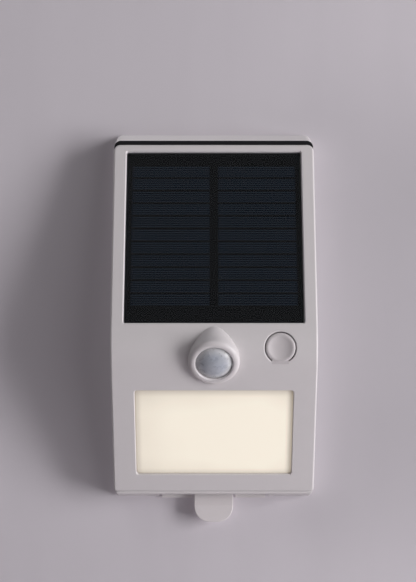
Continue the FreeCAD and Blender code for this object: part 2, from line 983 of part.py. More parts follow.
def led_reflector():
    width = window_width + 2 * (diffuser_flange - diffuser_seal_width)
    height = window_height + 2 * (diffuser_flange - diffuser_seal_width)
    low = -board_depth
    high = -window_depths
    tray = prism(centred(width, height, reflector_corner), low, high)
    inner_corner = reflector_corner - reflector_top_wall
    narrow = centred(width - 2 * reflector_foot_wall, height - 2 * reflector_foot_wall, inner_corner)
    wide = centred(width - 2 * reflector_top_wall, height - 2 * reflector_top_wall, inner_corner)
    tray = tray.cut(frustum(narrow, low + reflector_floor, wide, high + overrun))
    for x, y in led_places():
        hole = prism(centred(led_hole, led_hole, fit_gap), low - overrun, low + reflector_floor + overrun)
        tray = tray.cut(moved(hole, x, y))
    return seat(tray, window_frame)


def leds():
    lamps = []
    for x, y in led_places():
        lamp = prism(centred(led_width, led_height, fit_gap), -board_depth, -board_depth + led_thickness)
        lamps.append(moved(lamp, x, y))
    return seat(group(lamps), window_frame)


def led_board():
    width = window_width + 2 * led_board_side
    height = window_height + 2 * led_board_end
    low = -board_depth - led_board_thickness
    board = prism(centred(width, height, board_corner), low, -board_depth)
    for x in (-led_post_x, led_post_x):
        for y in (-led_post_up, led_post_up):
            hole = drum(small_screw_radius + fit_gap, low - overrun, overrun)
            board = board.cut(moved(hole, x, y))
    return seat(board, window_frame)


def pan_screw(head_radius, head_height, shank_radius, reach):
    # The head lies below z = 0 and the shank reaches up from it.
    head = drum(head_radius, -head_height, 0)
    rim = pick_edges(head, lambda middle, edge: middle.z < -head_height / 2 and len(edge.Vertexes) == 1)
    head = head.makeFillet(head_height * head_round_share, rim)
    tip = Part.makeCone(
        shank_radius, shank_radius * tip_share, shank_radius, point(0, 0, reach - shank_radius),
    )
    screw = fuse_all([head, drum(shank_radius, 0, reach - shank_radius), tip])
    for half_long, half_wide in ((head_radius / 2, slot_width / 2), (slot_width / 2, head_radius / 2)):
        screw = screw.cut(block(
            -half_long, half_long, -half_wide, half_wide,
            -head_height - overrun, -head_height + slot_depth,
        ))
    return screw


def case_screws():
    reach = case_screw_reach + case_post_rise - back_gap - screw_sink
    screw = pan_screw(screw_head_radius, screw_head_height, screw_radius, reach)
    return group([moved(screw, x, y, back_gap + screw_sink) for x, y in case_posts()])


def led_board_screws():
    screw = pan_screw(
        small_head_radius, small_head_height, small_screw_radius,
        small_screw_reach + led_board_thickness,
    )
    level = -board_depth - led_board_thickness
    places = [(x, y) for x in (-led_post_x, led_post_x) for y in (-led_post_up, led_post_up)]
    return seat(group([moved(screw, x, y, level) for x, y in places]), window_frame)


def board_screws():
    screw = pan_screw(
        small_head_radius, small_head_height, small_screw_radius,
        small_screw_reach + board_thickness - fit_gap,
    )
    level = board_level - board_thickness
    return group([moved(screw, x, y, level) for x in board_post_x for y in board_post_y])


def strap_screws():
    screw = pan_screw(
        small_head_radius, small_head_height, small_screw_radius, small_screw_reach + strap_thickness,
    )
    turned = seat(screw, FreeCAD.Placement(point(0, 0), FreeCAD.Rotation(x_axis, half_turn)))
    return group([moved(turned, 0, y, battery_rise + strap_thickness) for y in strap_posts()])


def sensor_lens():
    # A hollow dome with a flange behind the seat in the hood.
    flange_top = -lens_seat_depth - lens_seal_thickness
    flange = drum(lens_flange_radius, flange_top - lens_flange_thickness, flange_top)
    barrel = drum(lens_radius, flange_top - lens_flange_thickness, -lens_dome_base)
    sink = math.sqrt(lens_sphere_radius ** 2 - lens_radius ** 2)
    centre = point(0, 0, -lens_dome_base - sink)
    half_space = drum(lens_radius, -lens_dome_base, lens_sphere_radius)
    dome = Part.makeSphere(lens_sphere_radius, centre).common(half_space)
    hollow_radius = lens_sphere_radius - lens_wall
    inner_half = drum(lens_radius - lens_wall, -lens_dome_base - overrun, lens_sphere_radius)
    hollow = Part.makeSphere(hollow_radius, centre).common(inner_half)
    through = drum(
        lens_radius - lens_wall, flange_top - lens_flange_thickness - overrun, -lens_dome_base,
    )
    return seat(fuse_all([flange, barrel, dome]).cut(hollow).cut(through), hood_frame)


def lens_seal_ring():
    low = -lens_seat_depth - lens_seal_thickness
    return seat(drum_ring(lens_flange_radius, lens_seal_radius, low, -lens_seat_depth), hood_frame)


def lens_retainer():
    high = -lens_seat_depth - lens_seal_thickness - lens_flange_thickness
    ring = drum_ring(lens_flange_radius, retainer_inner_radius, high - retainer_thickness, high)
    return seat(ring, hood_frame)


def pyro_sensor():
    back = -pyro_depth - pyro_height
    can = drum(pyro_radius, back, -pyro_depth)
    rim = drum(pyro_rim_radius, back, back + pyro_rim_thickness)
    pane = prism(
        centred(pyro_window_width, pyro_window_height, fit_gap), -pyro_depth - pyro_window_depth, overrun,
    )
    parts = [can.cut(pane), rim]
    for turn in pyro_lead_turns:
        angle = math.radians(turn)
        x = pyro_lead_circle * math.cos(angle)
        y = pyro_lead_circle * math.sin(angle)
        parts.append(moved(drum(pyro_lead_radius, back - board_rise, back + overrun), x, y))
    sensor = seat(fuse_all(parts), hood_frame)
    below = block(-case_width, case_width, -case_width, case_width, 0, board_level)
    return sensor.cut(below)


def main_board():
    low = board_level - board_thickness
    corners = rectangle(-board_half_width, board_half_width, board_bottom, board_top, board_corner)
    board = prism(corners, low, board_level)
    for x in board_post_x:
        for y in board_post_y:
            hole = drum(small_screw_radius + fit_gap, low - overrun, board_level + overrun)
            board = board.cut(moved(hole, x, y))
    return board


def board_parts():
    chip = moved(block(
        -chip_length / 2, chip_length / 2, -chip_width / 2, chip_width / 2, 0, chip_height,
    ), chip_inset - board_half_width, chip_y, board_level)
    capacitor = moved(
        drum(capacitor_radius, 0, capacitor_height),
        capacitor_x, capacitor_y, board_level,
    )
    coil = moved(prism(
        centred(coil_side, coil_side, coil_corner), 0, coil_height,
    ), coil_x, coil_y, board_level)
    parts = [chip, capacitor, coil]
    for index in range(resistor_count):
        resistor = block(
            -resistor_length / 2, resistor_length / 2, -resistor_width / 2, resistor_width / 2,
            0, resistor_height,
        )
        x = resistor_inset - board_half_width + index * resistor_pitch
        parts.append(moved(resistor, x, resistor_y, board_level))
    return group(parts)


def wire_connectors():
    plugs = []
    high = board_level - board_thickness
    for x in plug_x:
        body = prism(centred(plug_length, plug_width, fit_gap), high - plug_height, high)
        plugs.append(moved(body, x, plug_y))
    return group(plugs)


def battery_cell():
    start = -battery_length / 2
    can = Part.makeCylinder(battery_radius, battery_length, point(start, battery_y, battery_rise), x_axis)
    ends = pick_edges(can, lambda middle, edge: len(edge.Vertexes) == 1)
    can = can.makeFillet(battery_edge, ends)
    button = Part.makeCylinder(
        battery_button_radius, battery_button_length,
        point(battery_length / 2, battery_y, battery_rise), x_axis,
    )
    return fuse_all([can, button])


def battery_pad():
    low = inner_floor
    slab = block(
        -pad_length / 2, pad_length / 2, battery_y - pad_width / 2, battery_y + pad_width / 2,
        low, battery_rise,
    )
    cell = Part.makeCylinder(
        battery_radius, battery_length * 2, point(-battery_length, battery_y, battery_rise), x_axis,
    )
    return slab.cut(cell)


def battery_strap():
    inner = battery_radius + fit_gap
    outer = inner + strap_thickness
    half = strap_width / 2
    foot_end = outer + strap_foot
    arch = Part.makeCylinder(outer, strap_width, point(-half, battery_y, battery_rise), x_axis)
    feet = block(
        -half, half, battery_y - foot_end, battery_y + foot_end,
        battery_rise, battery_rise + strap_thickness,
    )
    bore_start = point(-half - overrun, battery_y, battery_rise)
    hole = Part.makeCylinder(inner, strap_width + 2 * overrun, bore_start, x_axis)
    below = block(
        -case_width, case_width, battery_y - case_width, battery_y + case_width, 0, battery_rise,
    )
    strap = fuse_all([arch, feet]).cut(hole).cut(below)
    for y in strap_posts():
        strap = strap.cut(moved(drum(small_screw_radius + fit_gap, 0, knee_level), 0, y))
    return strap


def battery_tabs():
    tabs = []
    half_width = tab_width / 2
    for side, start in ((-1, -battery_length / 2), (1, battery_length / 2 + battery_button_length)):
        far = start + side * tab_thickness
        tabs.append(block(
            min(start, far), max(start, far), battery_y - half_width, battery_y + half_width,
            battery_rise - tab_drop, battery_rise - tab_drop + tab_height,
        ))
    return group(tabs)


def lead(route, name):
    # A round lead along straight runs joined by touching arcs.
    radii = []
    edges = []
    start = route[0]
    for index in range(1, len(route) - 1):
        corner = route[index]
        before = route[index - 1] - corner
        after = route[index + 1] - corner
        shorter = min(before.Length, after.Length)
        before.normalize()
        after.normalize()
        half_angle = before.getAngle(after) / 2
        reach = shorter * bend_share
        radius = reach * math.tan(half_angle)
        radii.append(round(radius, 2))
        bisector = before + after
        bisector.normalize()
        enter = corner + before * reach
        leave = corner + after * reach
        middle = corner + bisector * (radius / math.sin(half_angle) - radius)
        edges.append(Part.LineSegment(start, enter).toShape())
        edges.append(Part.Arc(enter, middle, leave).toShape())
        start = leave
    edges.append(Part.LineSegment(start, route[-1]).toShape())
    path = Part.Wire(edges)
    heading = route[1] - route[0]
    section = Part.Wire(Part.makeCircle(lead_radius, route[0], heading))
    tube = path.makePipeShell([section], True, False)
    area = math.pi * lead_radius ** 2
    print(name, "length", round(path.Length, 2), "bends", radii,
          "volume share", round(tube.Volume / (area * path.Length), 4))
    return tube


def plug_pins(index):
    level = board_level - board_thickness - plug_height
    half = plug_wire_pitch / 2
    return [point(plug_x[index] + side * half, plug_y, level) for side in (-1, 1)]


def panel_leads():
    # From the back of the panel through the pocket floor, past the battery's end to the first plug.
    leads = []
    tape_top = panel_levels()[3]
    down = panel_frame.Rotation.multVec(point(0, 0, -1))
    for side, pin in zip((-1, 1), plug_pins(0)):
        pad = point(lead_hole_x + side * panel_lead_spread, lead_hole_up, tape_top)
        start = panel_frame.multVec(pad)
        first = start + down * panel_lead_drop
        below = pin - z_axis * panel_lead_side
        leads.append(lead([start, first, below, pin], "panel lead"))
    return group(leads)


def battery_leads():
    leads = []
    for side, pin in zip((-1, 1), plug_pins(1)):
        end = battery_length / 2 + tab_thickness
        if side > 0:
            end += battery_button_length
        start = point(side * end, battery_y, battery_rise)
        out = start + x_axis * (side * battery_lead_reach)
        corner = out - point(0, battery_lead_drop, 0)
        below = pin - z_axis * battery_lead_reach
        leads.append(lead([start, out, corner, below, pin], "battery lead"))
    return group(leads)


def led_leads():
    leads = []
    back = window_frame.Rotation.multVec(point(0, 0, -1))
    for side, pin in zip((-1, 1), plug_pins(2)):
        local = point(
            plug_x[2] + side * plug_wire_pitch / 2, window_height / 2 - led_lead_drop,
            -board_depth - led_board_thickness,
        )
        start = window_frame.multVec(local)
        first = start + back * led_lead_drop
        below = pin - z_axis * led_lead_drop
        leads.append(lead([start, first, below, pin], "led lead"))
    return group(leads)


def hook(x, y):
    # The stem carries the lamp's catch bar and the finger stands up in front of it.
    finger_low = catch_span()[1] + hook_finger_gap
    finger_high = finger_low + hook_finger_thickness
    left = x - hook_half_width
    right = x + hook_half_width
    stem = block(left, right, y - hook_stem, y, 0, finger_high)
    finger = block(left, right, y - hook_stem, y + hook_finger_height, finger_low, finger_high)
    tip = [edge for edge in finger.Edges if abs(edge.CenterOfMass.y - y - hook_finger_height) < glue_gap
           and abs(edge.CenterOfMass.z - finger_low) < glue_gap]
    return fuse_all([stem, finger.makeChamfer(hook_lead_in, tip)])


def wall_bracket():
    half = bracket_width / 2
    corners = [
        (-half, bracket_bottom, fit_gap),
        (half, bracket_bottom, fit_gap),
        (half, bracket_top, bracket_corner),
        (-half, bracket_top, bracket_corner),
    ]
    plate = prism(corners, 0, bracket_thickness)
    slot = tongue_width / 2 + tongue_gap
    plate = plate.cut(block(
        -slot, slot, bracket_bottom - overrun, tongue_root, -overrun, bracket_thickness + overrun,
    ))
    hooks = [hook(x, y) for x in (-catch_x, catch_x) for y in catch_levels]
    plate = fuse_all([plate] + hooks)
    for y in (-screw_spacing / 2, screw_spacing / 2):
        plate = plate.cut(moved(drum(screw_hole_radius, -overrun, bracket_thickness + overrun), 0, y))
        cone = Part.makeCone(
            screw_hole_radius, screw_hole_radius + screw_hole_chamfer + overrun,
            screw_hole_chamfer + overrun, point(0, y, bracket_thickness - screw_hole_chamfer),
        )
        plate = plate.cut(cone)
    return plate


def tongue_path():
    # The back face of the tongue from its root to its tip, as (y, z).
    step_end = tongue_step_y - tongue_step_length
    return [
        (tongue_root, tongue_root_lift),
        (tongue_step_y, tongue_bend_rise),
        (step_end, tongue_tip_rise - tongue_thickness),
        (tongue_tip, tongue_tip_rise - tongue_thickness),
    ]


def tongue_middle(y):
    # The level of the tongue's mid thickness, between its root and its step.
    share = (tongue_root - y) / (tongue_root - tongue_step_y)
    return tongue_root_lift + (tongue_bend_rise - tongue_root_lift) * share + tongue_thickness / 2


def release_tongue():
    back = tongue_path()
    front = [(y, z + tongue_thickness) for y, z in reversed(back)]
    front[-1] = (tongue_root, bracket_thickness)
    corners = [(y, z, 0) for y, z in back + front]
    blade = side_prism(corners, tongue_width / 2)
    half = tongue_width / 2
    outline = [
        (-half, tongue_tip, tongue_corner),
        (half, tongue_tip, tongue_corner),
        (half, tongue_root, 0),
        (-half, tongue_root, 0),
    ]
    blade = blade.common(prism(outline, -overrun, knee_level))
    low = ledge_level() + ledge_thickness + barb_clearance
    far = low + barb_length
    front_z = bay_floor - barb_reach_gap
    wedge = side_prism([
        (low, tongue_middle(low), 0),
        (low, front_z, 0),
        (low + barb_flat, front_z, 0),
        (far, tongue_middle(far), 0),
    ], barb_half_width)
    return fuse_all([blade, wedge])


# The nodes, each by the name of its function
nodes = [
    wall_bracket, release_tongue, back_shell, shell_gasket, front_shell,
    panel_cover, solar_cells, panel_backing, panel_seal_tape,
    led_diffuser, diffuser_seal, led_reflector, leds, led_board, led_board_screws,
    sensor_lens, lens_seal_ring, lens_retainer, pyro_sensor,
    mode_button, button_membrane, switch_plunger, tact_switch,
    main_board, board_parts, board_screws, wire_connectors,
    battery_cell, battery_pad, battery_strap, strap_screws, battery_tabs,
    panel_leads, battery_leads, led_leads, case_screws,
]

os.makedirs("parts", exist_ok=True)
for maker in nodes:
    shape = stand_up(maker())
    print(maker.__name__, "solids", len(shape.Solids), "valid", shape.isValid(),
          "volume", round(shape.Volume, 1))
    shape.exportStep("parts/" + maker.__name__ + ".step")
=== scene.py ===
import math
import bmesh
import bpy
from mathutils import Matrix, Vector


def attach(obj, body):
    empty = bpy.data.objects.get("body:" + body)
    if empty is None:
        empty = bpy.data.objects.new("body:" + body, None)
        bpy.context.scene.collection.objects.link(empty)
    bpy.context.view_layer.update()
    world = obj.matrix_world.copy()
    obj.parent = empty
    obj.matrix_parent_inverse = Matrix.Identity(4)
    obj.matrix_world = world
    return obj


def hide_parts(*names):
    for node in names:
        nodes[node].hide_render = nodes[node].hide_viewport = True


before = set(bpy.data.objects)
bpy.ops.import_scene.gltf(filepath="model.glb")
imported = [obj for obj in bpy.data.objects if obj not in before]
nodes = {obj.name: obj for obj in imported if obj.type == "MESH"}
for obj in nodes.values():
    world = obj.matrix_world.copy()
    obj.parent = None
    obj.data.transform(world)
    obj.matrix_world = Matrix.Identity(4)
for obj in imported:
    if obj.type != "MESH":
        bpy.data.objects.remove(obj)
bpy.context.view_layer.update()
mm = 0.001
mergeGap = 0.001 * mm
print("frame loaded with", len(nodes), "nodes")

# The case as the frame has it: levels stand out from the wall, heights run up it
case = {
    "edgeLevel": 17.3 * mm,
    "kneeLevel": 47.0 * mm,
    "kneeHeight": -15.5 * mm,
    "kneeRadius": 28.0 * mm,
    "top": 89.3 * mm,
    "foot": -91.0 * mm,
}
rise = case["kneeLevel"] - case["edgeLevel"]
upperTilt = math.atan(rise / (case["top"] - case["kneeHeight"]))
lowerTilt = math.atan(rise / (case["kneeHeight"] - case["foot"]))
standUp = Matrix.Rotation(math.radians(90), 4, "X")  # y runs up the wall, z out into the room


def faceFrame(x, height, level, tilt):  # across, up the slope and out of a face of the case
    return standUp @ Matrix.Translation((x, height, level)) @ Matrix.Rotation(tilt, 4, "X")


# Node helpers

def feed(tree, node, values):  # an input takes another node's output or a plain value
    for name, value in values.items():
        if isinstance(value, bpy.types.NodeSocket):
            tree.links.new(value, node.inputs[name])
        else:
            node.inputs[name].default_value = value
    return node


def addNode(tree, kind, values=None, **settings):
    node = tree.nodes.new(kind)
    for name, value in settings.items():
        setattr(node, name, value)
    return feed(tree, node, values or {})


def mathNode(tree, operation, first, second=None, clamp=False):
    values = {0: first} if second is None else {0: first, 1: second}
    return addNode(tree, "ShaderNodeMath", values, operation=operation, use_clamp=clamp).outputs[0]


def weighted(tree, first, firstWeight, second, secondWeight):  # two patterns added, up to 1
    return mathNode(tree, "ADD", mathNode(tree, "MULTIPLY", first, firstWeight),
                    mathNode(tree, "MULTIPLY", second, secondWeight), clamp=True)


def mixColours(tree, share, first, second):
    return addNode(tree, "ShaderNodeMix", {0: share, 6: first, 7: second}, data_type="RGBA").outputs[2]


def mapRange(tree, value, low, high, toLow=0.0, toHigh=1.0, smooth=True):
    return addNode(tree, "ShaderNodeMapRange", {
        "Value": value, "From Min": low, "From Max": high, "To Min": toLow, "To Max": toHigh,
    }, interpolation_type="SMOOTHSTEP" if smooth else "LINEAR").outputs["Result"]


def noiseOf(tree, vector, scale, detail=2.0, roughness=0.5):
    return addNode(tree, "ShaderNodeTexNoise", {
        "Vector": vector, "Scale": scale, "Detail": detail, "Roughness": roughness,
    }).outputs["Fac"]


def stretched(tree, vector, scale, turn=(0, 0, 0)):
    return addNode(tree, "ShaderNodeMapping", {
        "Vector": vector, "Rotation": turn, "Scale": scale,
    }).outputs["Vector"]


def inFrame(tree, vector, pieceFrame):  # the same place, measured in a piece's own frame
    return addNode(tree, "ShaderNodeMapping", {
        "Vector": vector, "Location": pieceFrame.to_translation(), "Rotation": pieceFrame.to_euler(),
    }, vector_type="TEXTURE").outputs["Vector"]


def bumpFrom(tree, height, strength, distance):
    return addNode(tree, "ShaderNodeBump", {
        "Height": height, "Strength": strength, "Distance": distance,
    }).outputs["Normal"]


def newGroup(name, inputs, outputs):
    group = bpy.data.node_groups.new(name, "ShaderNodeTree")
    for label, kind, value in inputs:
        socket = group.interface.new_socket(label, in_out="INPUT", socket_type=kind)
        if value is not None:
            socket.default_value = value
    for label, kind in outputs:
        group.interface.new_socket(label, in_out="OUTPUT", socket_type=kind)
    return group, group.nodes.new("NodeGroupInput").outputs, group.nodes.new("NodeGroupOutput")


# Effects that several materials share

def mouldedSkin():  # the flow marks, waviness and spark-eroded grain of a moulded skin
    group, given, made = newGroup("mouldedSkin", [
        ("Vector", "NodeSocketVector", None),
        ("Colour", "NodeSocketColor", (0.8, 0.8, 0.8, 1)),
        ("Shade", "NodeSocketColor", (0.7, 0.7, 0.7, 1)),
        ("Blotch", "NodeSocketFloat", 0.5),
        ("Grain Scale", "NodeSocketFloat", 2600.0),
        ("Roughness", "NodeSocketFloat", 0.4),
        ("Roughness Spread", "NodeSocketFloat", 0.1),
    ], [("Colour", "NodeSocketColor"), ("Roughness", "NodeSocketFloat"), ("Height", "NodeSocketFloat")])
    flow = noiseOf(group, given["Vector"], 34.0, 3.0)
    wave = noiseOf(group, given["Vector"], 320.0)
    grain = noiseOf(group, given["Vector"], given["Grain Scale"], roughness=0.6)
    share = weighted(group, mapRange(group, flow, 0.35, 0.7), given["Blotch"],
                     mapRange(group, grain, 0.4, 0.75), 0.12)
    spread = mathNode(group, "SUBTRACT", mathNode(group, "ADD", grain, flow), 1.0)
    change = mathNode(group, "MULTIPLY", spread, given["Roughness Spread"])
    feed(group, made, {
        "Colour": mixColours(group, share, given["Colour"], given["Shade"]),
        "Roughness": mathNode(group, "ADD", given["Roughness"], change, clamp=True),
        "Height": weighted(group, grain, 0.35, wave, 0.65),
    })
    return group


def fineDust():  # scattered specks, thicker in some places than in others
    group, given, made = newGroup("fineDust", [
        ("Vector", "NodeSocketVector", None),
        ("Amount", "NodeSocketFloat", 0.3),
        ("Speck Scale", "NodeSocketFloat", 900.0),
    ], [("Mask", "NodeSocketFloat")])
    specks = addNode(group, "ShaderNodeTexVoronoi", {
        "Vector": given["Vector"], "Scale": given["Speck Scale"],
    })
    dots = mapRange(group, specks.outputs["Distance"], 0.32, 0.06)
    patches = mapRange(group, noiseOf(group, given["Vector"], 70.0, 4.0), 0.45, 0.8)
    dust = mathNode(group, "MULTIPLY", dots, patches)
    feed(group, made, {"Mask": mathNode(group, "MULTIPLY", dust, given["Amount"])})
    return group


def hairlines():  # faint handling scratches that run in two directions
    group, given, made = newGroup("hairlines", [
        ("Vector", "NodeSocketVector", None),
        ("Amount", "NodeSocketFloat", 0.3),
    ], [("Mask", "NodeSocketFloat")])
    lines = []
    for turn in (0.5, -1.1):
        streaks = stretched(group, given["Vector"], (60.0, 2400.0, 2400.0), (0.3, turn, turn))
        lines.append(mapRange(group, noiseOf(group, streaks, 1.0, 1.0), 0.68, 0.78))
    both = mathNode(group, "MAXIMUM", *lines)
    feed(group, made, {"Mask": mathNode(group, "MULTIPLY", both, given["Amount"])})
    return group


effects = {"skin": mouldedSkin(), "dust": fineDust(), "hairlines": hairlines()}
print("shared effects made")


# Materials

def newMaterial(name, settings):
    material = bpy.data.materials.new(name)
    material.use_nodes = True
    tree = material.node_tree
    shader = feed(tree, tree.nodes["Principled BSDF"], settings)
    place = addNode(tree, "ShaderNodeTexCoord").outputs["Object"]
    return material, tree, shader, place


def useGroup(tree, effect, vector, values):
    return addNode(tree, "ShaderNodeGroup", {"Vector": vector, **values},
                   node_tree=effects[effect]).outputs


def mixShaders(tree, share, first, second):
    mix = addNode(tree, "ShaderNodeMixShader", {
        0: share, 1: first.outputs[0], 2: second.outputs[0],
    })
    feed(tree, tree.nodes["Material Output"], {"Surface": mix.outputs[0]})


def plastic(name, colour, shade, look, settings=None):
    material, tree, shader, place = newMaterial(name, settings or {})
    skin = useGroup(tree, "skin", place, {
        "Colour": colour, "Shade": shade, "Blotch": look["blotch"], "Grain Scale": look["grain"],
        "Roughness": look["roughness"], "Roughness Spread": look["spread"],
    })
    dust = useGroup(tree, "dust", place, {"Amount": look["dust"]})
    marks = useGroup(tree, "hairlines", place, {"Amount": look["scratch"]})
    dulled = mathNode(tree, "MULTIPLY", marks["Mask"], 0.25)
    scored = mathNode(tree, "MULTIPLY", marks["Mask"], 0.4)
    height = mathNode(tree, "SUBTRACT", skin["Height"], scored)
    feed(tree, shader, {
        "Base Color": mixColours(tree, dust["Mask"], skin["Colour"], look["dustColour"]),
        "Roughness": mathNode(tree, "ADD", skin["Roughness"], dulled, clamp=True),
        "Normal": bumpFrom(tree, height, look["relief"], 0.02 * mm),
    })
    return material


satinLook = {
    "blotch": 0.35, "grain": 2600.0, "roughness": 0.42, "spread": 0.12, "relief": 0.5,
    "dust": 0.12, "scratch": 0.1, "dustColour": (0.36, 0.34, 0.32, 1),
}
rubberLook = {
    "blotch": 0.5, "grain": 1800.0, "roughness": 0.62, "spread": 0.2, "relief": 0.7,
    "dust": 0.25, "scratch": 0.0, "dustColour": (0.1, 0.095, 0.09, 1),
}
glossLook = {
    "blotch": 0.25, "grain": 3200.0, "roughness": 0.22, "spread": 0.08, "relief": 0.15,
    "dust": 0.05, "scratch": 0.15, "dustColour": (0.3, 0.3, 0.3, 1),
}
plastics = {  # the colour, the shade that drifts through it, the look and any other settings
    "caseWhite": ((0.64, 0.61, 0.614, 1), (0.617, 0.587, 0.592, 1), satinLook),
    # the bracket's white is a lighter copy of the case's white: painted light, set against the shade the
    # case casts on the bracket's strips
    "litBracketWhite": ((0.675, 0.634, 0.638, 1), (0.65, 0.61, 0.615, 1), satinLook),
    "buttonWhite": ((0.545, 0.511, 0.518, 1), (0.524, 0.49, 0.497, 1), satinLook),
    "sealBlack": ((0.004, 0.004, 0.005, 1), (0.008, 0.008, 0.009, 1), {**rubberLook, "dust": 0.05},
                  {"Specular IOR Level": 0.15}),
    "bootRubber": ((0.6, 0.57, 0.558, 1), (0.54, 0.51, 0.498, 1), rubberLook),
    "foamBlack": ((0.03, 0.03, 0.03, 1), (0.015, 0.015, 0.015, 1), {**rubberLook, "grain": 900.0}),
    "panelBlack": ((0.003, 0.0038, 0.0042, 1), (0.0044, 0.005, 0.0054, 1),
                   {**glossLook, "roughness": 0.5}, {"Specular IOR Level": 0.06}),
    "reflectorWhite": ((0.82, 0.82, 0.8, 1), (0.76, 0.76, 0.74, 1), glossLook),
    "switchBlack": ((0.02, 0.02, 0.021, 1), (0.03, 0.03, 0.03, 1), glossLook),
    "nylonCream": ((0.72, 0.68, 0.55, 1), (0.66, 0.6, 0.47, 1), {**glossLook, "roughness": 0.4}),
    "sleeveBlue": ((0.03, 0.12, 0.33, 1), (0.02, 0.09, 0.26, 1), glossLook),
    "leadRed": ((0.3, 0.02, 0.02, 1), (0.22, 0.015, 0.015, 1), {**glossLook, "roughness": 0.45}),
}
materials = {name: plastic(name, *finish) for name, finish in plastics.items()}


boards = {  # the solder mask, and its tone over the tracks
    "boardGreen": ((0.01, 0.1, 0.04, 1), (0.03, 0.22, 0.09, 1)),
    "boardWhite": ((0.74, 0.74, 0.7, 1), (0.6, 0.6, 0.55, 1)),
}


def boardMaterial(name, mask, tracksTone):
    material, tree, shader, place = newMaterial(name, {"Coat Weight": 0.3, "Coat Roughness": 0.15})
    tracks = addNode(tree, "ShaderNodeTexBrick", {
        "Vector": place, "Scale": 1.0, "Mortar Size": 0.3 * mm, "Brick Width": 4.0 * mm,
        "Row Height": 1.6 * mm,
    }).outputs["Fac"]
    speckle = noiseOf(tree, place, 900.0)
    feed(tree, shader, {
        "Base Color": mixColours(tree, weighted(tree, tracks, 0.7, speckle, 0.2), mask, tracksTone),
        "Roughness": mapRange(tree, speckle, 0.3, 0.7, 0.28, 0.42),
        "Normal": bumpFrom(tree, tracks, 0.4, 0.03 * mm),
    })
    return material


materials.update({name: boardMaterial(name, *finish) for name, finish in boards.items()})

metals = {  # bright tone, stained tone, roughness, and how much finer it is ground in y than in x
    "zincSteel": ((0.56, 0.56, 0.58, 1), (0.36, 0.36, 0.37, 1), 0.32, 4.0),
    "nickelStrip": ((0.62, 0.58, 0.5, 1), (0.4, 0.37, 0.32, 1), 0.25, 6.0),
    "sensorCan": ((0.6, 0.58, 0.54, 1), (0.42, 0.4, 0.37, 1), 0.22, 1.0),
}


def metal(name, bright, stained, roughness, finer):  # drawn or plated, with fine grinding lines
    material, tree, shader, place = newMaterial(name, {"Metallic": 1.0})
    grind = noiseOf(tree, stretched(tree, place, (300.0, 300.0 * finer, 2200.0)), 1.0, 3.0)
    stain = mapRange(tree, noiseOf(tree, place, 380.0, 4.0), 0.4, 0.75)
    feed(tree, shader, {
        "Base Color": mixColours(tree, weighted(tree, grind, 0.4, stain, 0.5), bright, stained),
        "Roughness": mapRange(tree, grind, 0.3, 0.7, roughness * 0.8, roughness * 1.3),
        "Normal": bumpFrom(tree, grind, 0.3, 0.01 * mm),
    })
    return material


materials.update({name: metal(name, *finish) for name, finish in metals.items()})

phosphor = {"glow": 0.6, "deep": (0.95, 0.66, 0.16, 1), "pale": (0.98, 0.8, 0.4, 1)}


def ledMaterial():  # a grainy phosphor face, lit
    material, tree, shader, place = newMaterial("ledPhosphor", {
        "Roughness": 0.45, "Emission Strength": phosphor["glow"],
    })
    grains = noiseOf(tree, place, 5200.0)
    colour = mixColours(tree, mapRange(tree, grains, 0.35, 0.7), phosphor["deep"], phosphor["pale"])
    feed(tree, shader, {
        "Base Color": colour, "Emission Color": colour, "Normal": bumpFrom(tree, grains, 0.3, 0.02 * mm),
    })
    return material


materials["ledPhosphor"] = ledMaterial()
print("shared materials made:", len(materials))


# Mesh helpers

def finishPiece(name, mesh, body, material, replaced=(), place=None, smoothAngle=30.0,
                flatArea=None):  # faces larger than flatArea keep their own normal beside rounded edges
    if place is not None:
        bmesh.ops.transform(mesh, matrix=place, verts=mesh.verts)
    bmesh.ops.recalc_face_normals(mesh, faces=mesh.faces)
    data = bpy.data.meshes.new(name)
    mesh.to_mesh(data)
    mesh.free()
    data.shade_smooth()
    data.set_sharp_from_angle(angle=math.radians(smoothAngle))
    if flatArea is not None:
        for polygon in data.polygons:
            polygon.use_smooth = polygon.area <= flatArea
    piece = bpy.data.objects.new(name, data)
    bpy.context.scene.collection.objects.link(piece)
    data.materials.append(materials[material])
    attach(piece, body)
    if replaced:
        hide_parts(*replaced)
    return piece


def flatSheet(mesh, width, height):
    corners = bmesh.ops.create_grid(mesh, x_segments=1, y_segments=1, size=0.5)["verts"]
    bmesh.ops.scale(mesh, verts=corners, vec=(width, height, 1))
    return corners


def roundedSheet(mesh, width, height, corner, level, segments=6):  # a flat face, its corners rounded
    corners = flatSheet(mesh, width, height)
    bmesh.ops.translate(mesh, verts=corners, vec=(0, 0, level))
    rounded = bmesh.ops.bevel(mesh, geom=corners, offset=corner, offset_type="OFFSET",
                              segments=segments, profile=0.5, affect="VERTICES", material=-1)
    return rounded["verts"][0].link_faces[0]


def raiseFace(mesh, face, rise):
    grown = bmesh.ops.extrude_face_region(mesh, geom=[face])["geom"]
    verts = [item for item in grown if isinstance(item, bmesh.types.BMVert)]
    bmesh.ops.translate(mesh, verts=verts, vec=(0, 0, rise))
    return [item for item in grown if isinstance(item, bmesh.types.BMFace)][0]


def bevelEdges(mesh, edges, width, segments):
    bmesh.ops.bevel(mesh, geom=list(edges), offset=width, offset_type="OFFSET", segments=segments,
                    profile=0.5, affect="EDGES", material=-1, clamp_overlap=True)


def slab(mesh, left, right, low, high, bottom, top, edge=0.0):  # a box, its upper edges cut by edge
    made = bmesh.ops.create_cube(mesh, size=1.0)["verts"]
    middle = Vector(((left + right) / 2, (low + high) / 2, (bottom + top) / 2))
    bmesh.ops.scale(mesh, verts=made, vec=(right - left, high - low, top - bottom))
    bmesh.ops.translate(mesh, verts=made, vec=middle)
    if edge:
        upper = max((face for vert in made for face in vert.link_faces),
                    key=lambda face: face.calc_center_median().z)
        bevelEdges(mesh, upper.edges, edge, 1)


